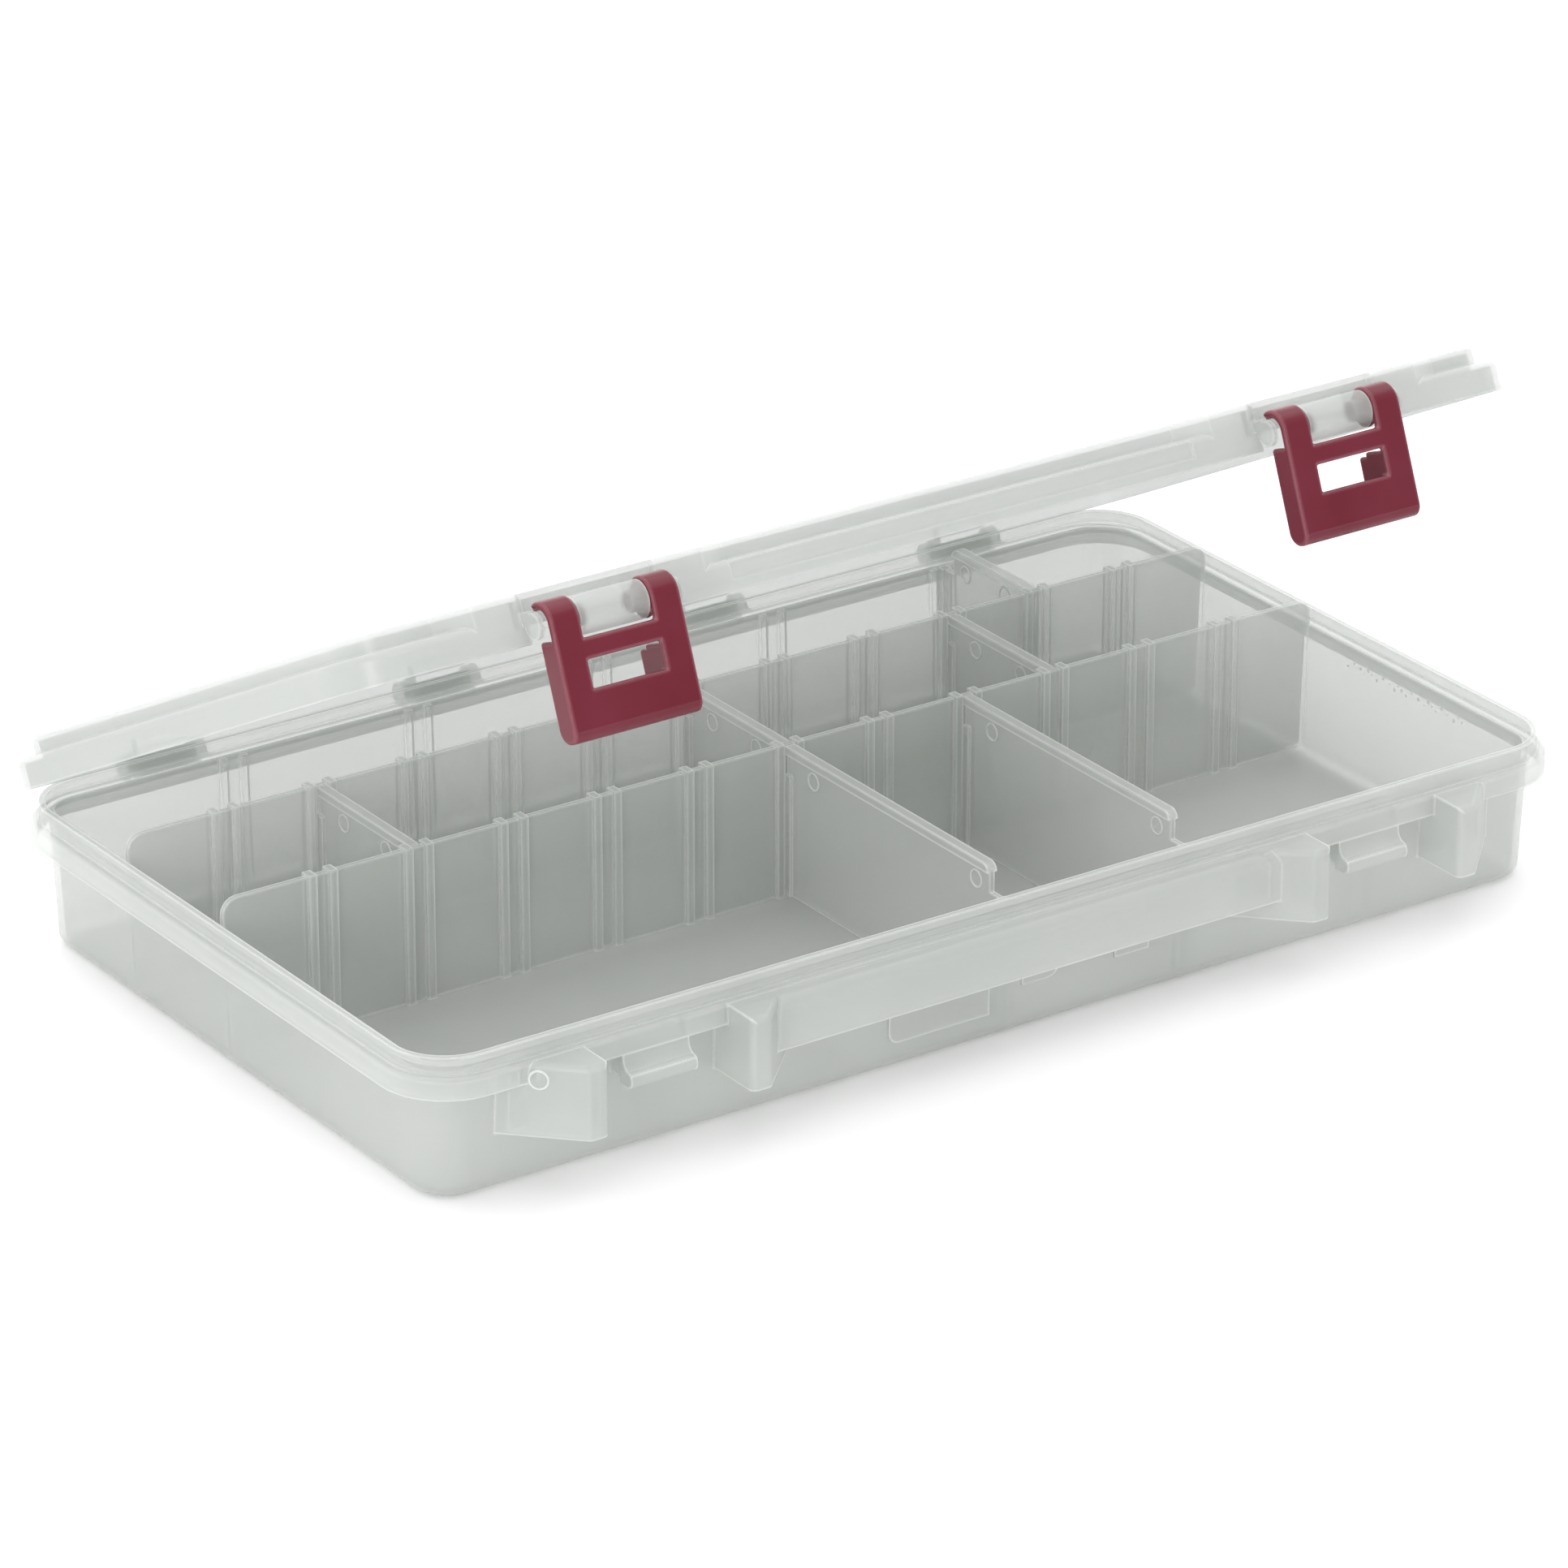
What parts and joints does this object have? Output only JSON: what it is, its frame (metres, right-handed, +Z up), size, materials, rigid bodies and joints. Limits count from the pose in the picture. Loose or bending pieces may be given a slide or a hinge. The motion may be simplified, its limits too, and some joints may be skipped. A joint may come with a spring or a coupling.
{
  "type": "fishing tackle box",
  "caption": "Shallow clear tackle box with a hinged lid, snap latches, a front grip and lift-out dividers in three rows.",
  "frame": {"origin": "on the table, under the middle of the tray's flat base", "axes": "+X along the length to the right, -Y towards the handle and latches, +Z up"},
  "size_m": [0.3556, 0.2216, 0.1432],
  "materials": {
    "frosted_tray": "milky translucent polypropylene, satin",
    "frosted_lid": "clearer translucent polypropylene, satin",
    "frosted_divider": "milky translucent polypropylene, satin",
    "latch_red": "gloss dark red moulded plastic"
  },
  "bodies": {
    "tray": {"tray": "frosted_tray"},
    "lid": {"lid": "frosted_lid"},
    "latch_left": {"latch_left": "latch_red"},
    "latch_right": {"latch_right": "latch_red"},
    "divider_front_centre": {"divider_front_centre": "frosted_divider"},
    "divider_front_right": {"divider_front_right": "frosted_divider"},
    "divider_middle_left": {"divider_middle_left": "frosted_divider"},
    "divider_middle_centre": {"divider_middle_centre": "frosted_divider"},
    "divider_middle_right": {"divider_middle_right": "frosted_divider"},
    "divider_back_right": {"divider_back_right": "frosted_divider"}
  },
  "joints": [
    {"name": "lid_hinge", "type": "hinge", "parent": "tray", "child": "lid", "pos_m": [0, 0.106, 0.035], "axis": [-1, 0, 0], "range_deg": [-27.7, 152.3]},
    {"name": "latch_left_pivot", "type": "hinge", "parent": "lid", "child": "latch_left", "pos_m": [-0.1103, -0.07925, 0.13757], "axis": [-1, 0, 0], "range_deg": [-4, 100]},
    {"name": "latch_right_pivot", "type": "hinge", "parent": "lid", "child": "latch_right", "pos_m": [0.1103, -0.07925, 0.13757], "axis": [-1, 0, 0], "range_deg": [-4, 100]},
    {"name": "lift_front_centre", "type": "slide", "parent": "tray", "child": "divider_front_centre", "axis": [0, 0, 1], "range_m": [0, 0.044]},
    {"name": "lift_front_right", "type": "slide", "parent": "tray", "child": "divider_front_right", "axis": [0, 0, 1], "range_m": [0, 0.044]},
    {"name": "lift_middle_left", "type": "slide", "parent": "tray", "child": "divider_middle_left", "axis": [0, 0, 1], "range_m": [0, 0.028]},
    {"name": "lift_middle_centre", "type": "slide", "parent": "tray", "child": "divider_middle_centre", "axis": [0, 0, 1], "range_m": [0, 0.028]},
    {"name": "lift_middle_right", "type": "slide", "parent": "tray", "child": "divider_middle_right", "axis": [0, 0, 1], "range_m": [0, 0.028]},
    {"name": "lift_back_right", "type": "slide", "parent": "tray", "child": "divider_back_right", "axis": [0, 0, 1], "range_m": [0, 0.012]}
  ]
}
